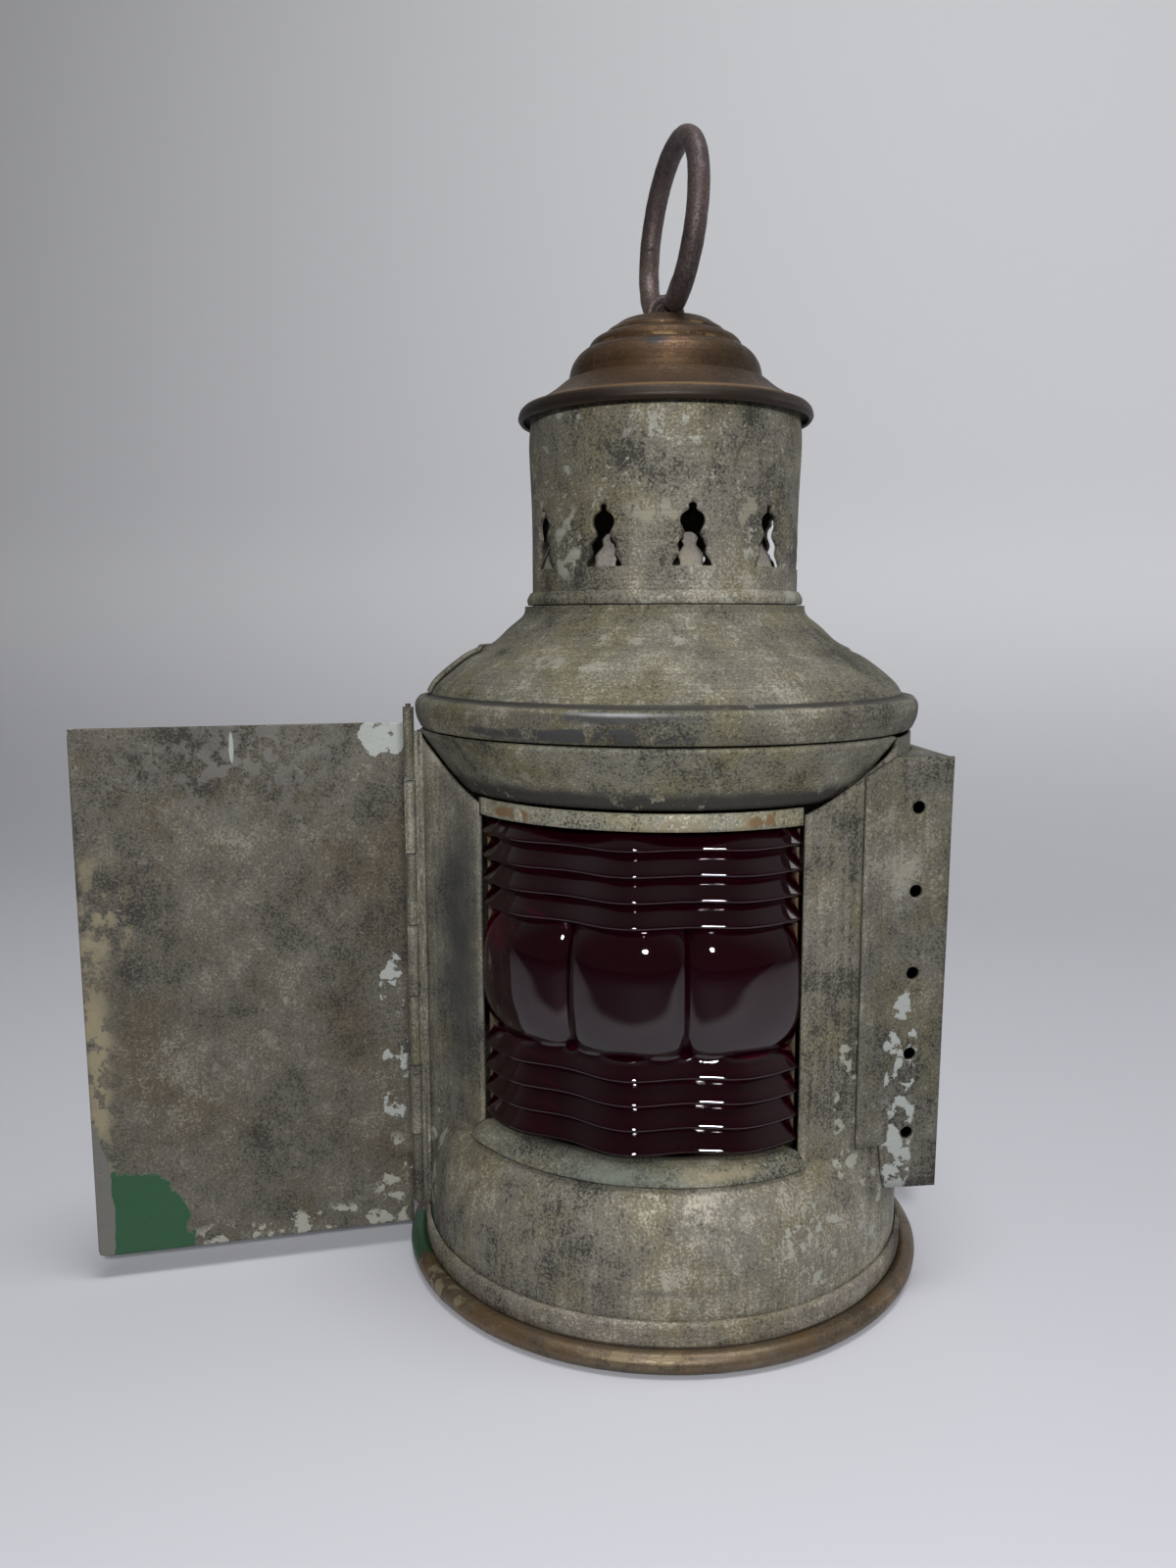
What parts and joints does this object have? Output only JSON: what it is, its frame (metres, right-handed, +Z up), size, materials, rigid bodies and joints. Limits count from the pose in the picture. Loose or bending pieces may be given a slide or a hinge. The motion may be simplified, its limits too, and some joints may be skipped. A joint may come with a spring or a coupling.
{
  "type": "ship navigation lantern",
  "caption": "Oil-burning ship's side light in worn sheet metal: ruby pressed-glass lens, hinged side screen, vented chimney with tiered cap and carrying ring, twist-off base with burner.",
  "frame": {"origin": "centre of the underside of the base pan", "axes": "+Z up through the cap, -Y out through the lens, +X towards the pierced draught face"},
  "size_m": [0.1849, 0.1218, 0.2555],
  "materials": {
    "base_pan": "worn brass, rolled rim rubbed bright",
    "base_keeper": "dull worn sheet",
    "foot_hoop": "dull worn sheet",
    "body_shell": "mottled dark grey-olive, worn and stained",
    "lens": "dark ruby pressed glass, glossy",
    "lens_sill": "pale worn sheet with a little verdigris",
    "lens_top_band": "pale worn sheet with brassy patches",
    "lens_strip_left": "dull brass",
    "lens_strip_right": "dull brass",
    "front_visor": "mottled dark grey-olive",
    "hood": "mottled dark grey-olive, turned lines",
    "hood_patch": "dull worn sheet",
    "chimney_collar": "dull worn sheet",
    "chimney": "mottled dark grey-olive, paint remains",
    "cap": "brown patinated brass, fine turned lines",
    "ring_eye": "rusty wire",
    "carrying_ring": "dark red-brown rusted iron",
    "draught_face": "mottled sheet with pale paint chips",
    "draught_box": "dull worn sheet",
    "hinge_leaf": "dull worn sheet",
    "hinge_pin": "dull steel wire",
    "screen_plate": "mottled sheet, green paint on one corner",
    "font_tank": "dull brass",
    "font_filler_cap": "dull brass",
    "burner_body": "dull brass",
    "burner_crown": "dull brass",
    "burner_cone": "dull brass, heat stained",
    "wick_tube": "dull brass",
    "wick": "woven cotton",
    "wick_shaft": "dull brass",
    "wick_knob": "dull brass, knurled"
  },
  "bodies": {
    "lantern": {"body_shell": "body_shell", "base_keeper": "base_keeper", "foot_hoop": "foot_hoop", "lens": "lens", "lens_sill": "lens_sill", "lens_top_band": "lens_top_band", "lens_strip_left": "lens_strip_left", "lens_strip_right": "lens_strip_right", "front_visor": "front_visor", "hood": "hood", "hood_patch": "hood_patch", "chimney_collar": "chimney_collar", "chimney": "chimney", "cap": "cap", "ring_eye": "ring_eye", "draught_face": "draught_face", "draught_box": "draught_box", "hinge_leaf": "hinge_leaf", "hinge_pin": "hinge_pin"},
    "base": {"base_pan": "base_pan", "font_tank": "font_tank", "font_filler_cap": "font_filler_cap", "burner_body": "burner_body", "burner_crown": "burner_crown", "burner_cone": "burner_cone", "wick_tube": "wick_tube"},
    "wick_drive": {"wick_shaft": "wick_shaft", "wick_knob": "wick_knob"},
    "wick_strip": {"wick": "wick"},
    "ring": {"carrying_ring": "carrying_ring"},
    "screen": {"screen_plate": "screen_plate"}
  },
  "joints": [
    {"name": "base_twist", "type": "hinge", "parent": "lantern", "child": "base", "pos_m": [0, 0, 0], "axis": [0, 0, 1], "range_deg": [0, 35]},
    {"name": "screen_hinge", "type": "hinge", "parent": "lantern", "child": "screen", "pos_m": [-0.05534, -0.02047, 0.0658], "axis": [0, 0, 1], "range_deg": [-103, 90]},
    {"name": "ring_swing", "type": "hinge", "parent": "lantern", "child": "ring", "pos_m": [0, 0, 0.2164], "axis": [0.4399, -0.898, 0], "range_deg": [-53, 62]},
    {"name": "wick_knob_turn", "type": "hinge", "parent": "base", "child": "wick_drive", "pos_m": [0, 0.0054, 0.0344], "axis": [-1, 0, 0], "range_deg": [-120, 90]},
    {"name": "wick_feed", "type": "slide", "parent": "base", "child": "wick_strip", "axis": [0, 0, 1], "range_m": [-0.008, 0.006]}
  ],
  "couplings": [
    {"joint": "wick_feed", "follows": "wick_knob_turn", "m_per_rad": 0.0038}
  ]
}
